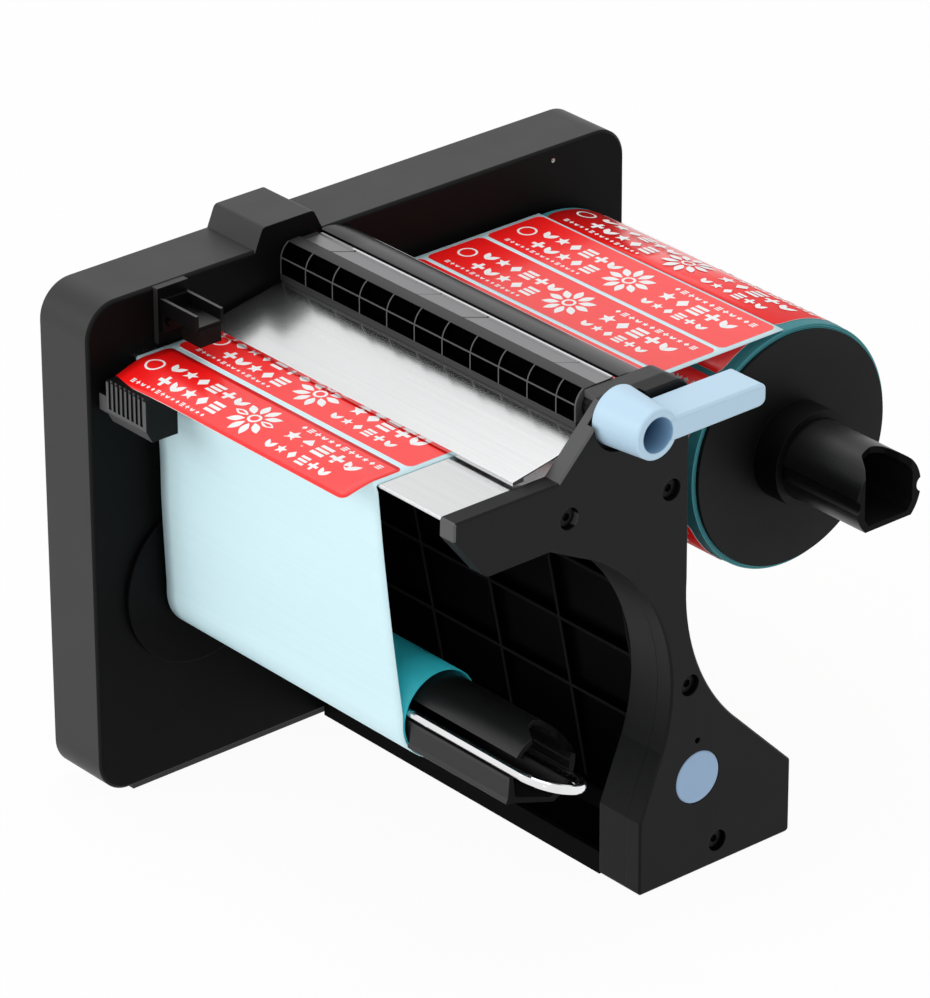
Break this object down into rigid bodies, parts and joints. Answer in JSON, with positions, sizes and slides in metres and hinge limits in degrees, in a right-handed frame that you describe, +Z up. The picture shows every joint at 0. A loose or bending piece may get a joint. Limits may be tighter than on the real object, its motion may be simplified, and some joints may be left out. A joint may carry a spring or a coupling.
{
  "type": "label dispenser machine",
  "caption": "Desk label dispenser: a supply roll feeds a label web under a lever-turned press bar to a peel plate; a geared motor winds the used liner onto a clip spindle.",
  "frame": {"origin": "on the base's underside, 80 mm from the gearbox housing's inner face towards the end plate and level with the housing's middle", "axes": "+X from the gearbox housing to the end plate, +Y from the peel edge to the supply roll, +Z up"},
  "size_m": [0.2228, 0.2411, 0.1935],
  "materials": {
    "shell_black": "fine-grained, slightly satin",
    "frame_black": "moulded, satin",
    "bar_black": "moulded, semi-gloss edges",
    "sensor_black": "matte",
    "spindle_black": "semi-gloss",
    "disc_black": "matte",
    "socket_black": "matte",
    "sheet_steel": "finely brushed",
    "screw_steel": "zinc plated",
    "screw_dark": "black oxide",
    "roller_metal": "turned",
    "clip_chrome": "bright plated",
    "lever_blue": "semi-gloss pale blue",
    "cap_blue": "semi-gloss mid blue",
    "nylon": "natural nylon",
    "bush_brass": "sintered",
    "motor_case": "plain can",
    "board_green": "lacquered board",
    "foot_rubber": "matte",
    "liner_paper": "glazed release paper, pale blue",
    "roll_paper": "wound printed labels",
    "core_card": "plain card",
    "label_red": "glossy printed face"
  },
  "bodies": {
    "frame": {"housing_shell": "shell_black", "housing_cover": "shell_black", "housing_screws": "screw_steel", "end_frame": "frame_black", "end_cover": "shell_black", "end_cover_screws": "screw_dark", "end_cap": "cap_blue", "base_frame": "frame_black", "rear_cover": "shell_black", "rubber_feet": "foot_rubber", "peel_plate": "sheet_steel", "upper_plate": "sheet_steel", "rear_hood": "sheet_steel", "press_bushes": "nylon", "sensor_arm": "sensor_black", "sensor_head": "sensor_black", "sensor_arm_screws": "screw_steel", "sensor_guide": "sensor_black", "idler_pin": "screw_steel", "motor": "motor_case", "motor_screws": "screw_steel", "circuit_board": "board_green", "dc_inlet": "socket_black", "switch_case": "socket_black", "takeup_bush": "bush_brass", "supply_bush": "bush_brass", "liner": "liner_paper", "labels": "label_red", "front_label": "label_red"},
    "press_lever": {"lever": "lever_blue", "lever_screw": "screw_dark", "press_shaft": "screw_steel", "press_bar": "bar_black", "bar_strip": "sheet_steel"},
    "guide_roller": {"guide_roller": "roller_metal"},
    "supply_reel": {"supply_spindle": "spindle_black", "supply_collar": "nylon", "roll_core": "core_card", "label_roll": "roll_paper"},
    "supply_flange": {"supply_flange": "disc_black"},
    "take_up": {"takeup_spindle": "spindle_black", "takeup_disc": "disc_black", "takeup_gear": "nylon", "wound_liner": "liner_paper"},
    "wire_clip": {"wire_clip": "clip_chrome"},
    "idler_gear": {"idler_gear": "nylon"},
    "motor_pinion": {"motor_pinion": "nylon"},
    "sensor_carriage": {"sensor_carriage": "sensor_black"},
    "rocker": {"rocker": "socket_black"}
  },
  "joints": [
    {"name": "press_lever_turn", "type": "hinge", "parent": "frame", "child": "press_lever", "pos_m": [0.085, -0.03, 0.18], "axis": [-1, 0, 0], "range_deg": [0, 75]},
    {"name": "guide_roller_spin", "type": "hinge", "parent": "frame", "child": "guide_roller", "pos_m": [-0.005, -0.005, 0.1602], "axis": [1, 0, 0], "continuous": true},
    {"name": "supply_spin", "type": "hinge", "parent": "frame", "child": "supply_reel", "pos_m": [-0.005, 0.079, 0.1202], "axis": [1, 0, 0], "continuous": true},
    {"name": "supply_flange_slide", "type": "slide", "parent": "supply_reel", "child": "supply_flange", "axis": [1, 0, 0], "range_m": [0, 0.045]},
    {"name": "take_up_spin", "type": "hinge", "parent": "frame", "child": "take_up", "pos_m": [-0.005, -0.0745, 0.0735], "axis": [1, 0, 0], "continuous": true},
    {"name": "wire_clip_slide", "type": "slide", "parent": "take_up", "child": "wire_clip", "axis": [1, 0, 0], "range_m": [0, 0.15]},
    {"name": "idler_gear_spin", "type": "hinge", "parent": "frame", "child": "idler_gear", "pos_m": [-0.097, -0.03635, 0.06539], "axis": [1, 0, 0], "continuous": true},
    {"name": "motor_pinion_spin", "type": "hinge", "parent": "frame", "child": "motor_pinion", "pos_m": [-0.097, -0.01852, 0.04933], "axis": [1, 0, 0], "continuous": true},
    {"name": "sensor_slide", "type": "slide", "parent": "frame", "child": "sensor_carriage", "axis": [0, -1, 0], "range_m": [0, 0.018]},
    {"name": "rocker_tilt", "type": "hinge", "parent": "frame", "child": "rocker", "pos_m": [-0.0935, 0.114, 0.057], "axis": [-1, 0, 0], "range_deg": [0, 14]}
  ],
  "couplings": [
    {"joint": "idler_gear_spin", "follows": "take_up_spin", "ratio": -3.3333},
    {"joint": "motor_pinion_spin", "follows": "take_up_spin", "ratio": 10}
  ]
}
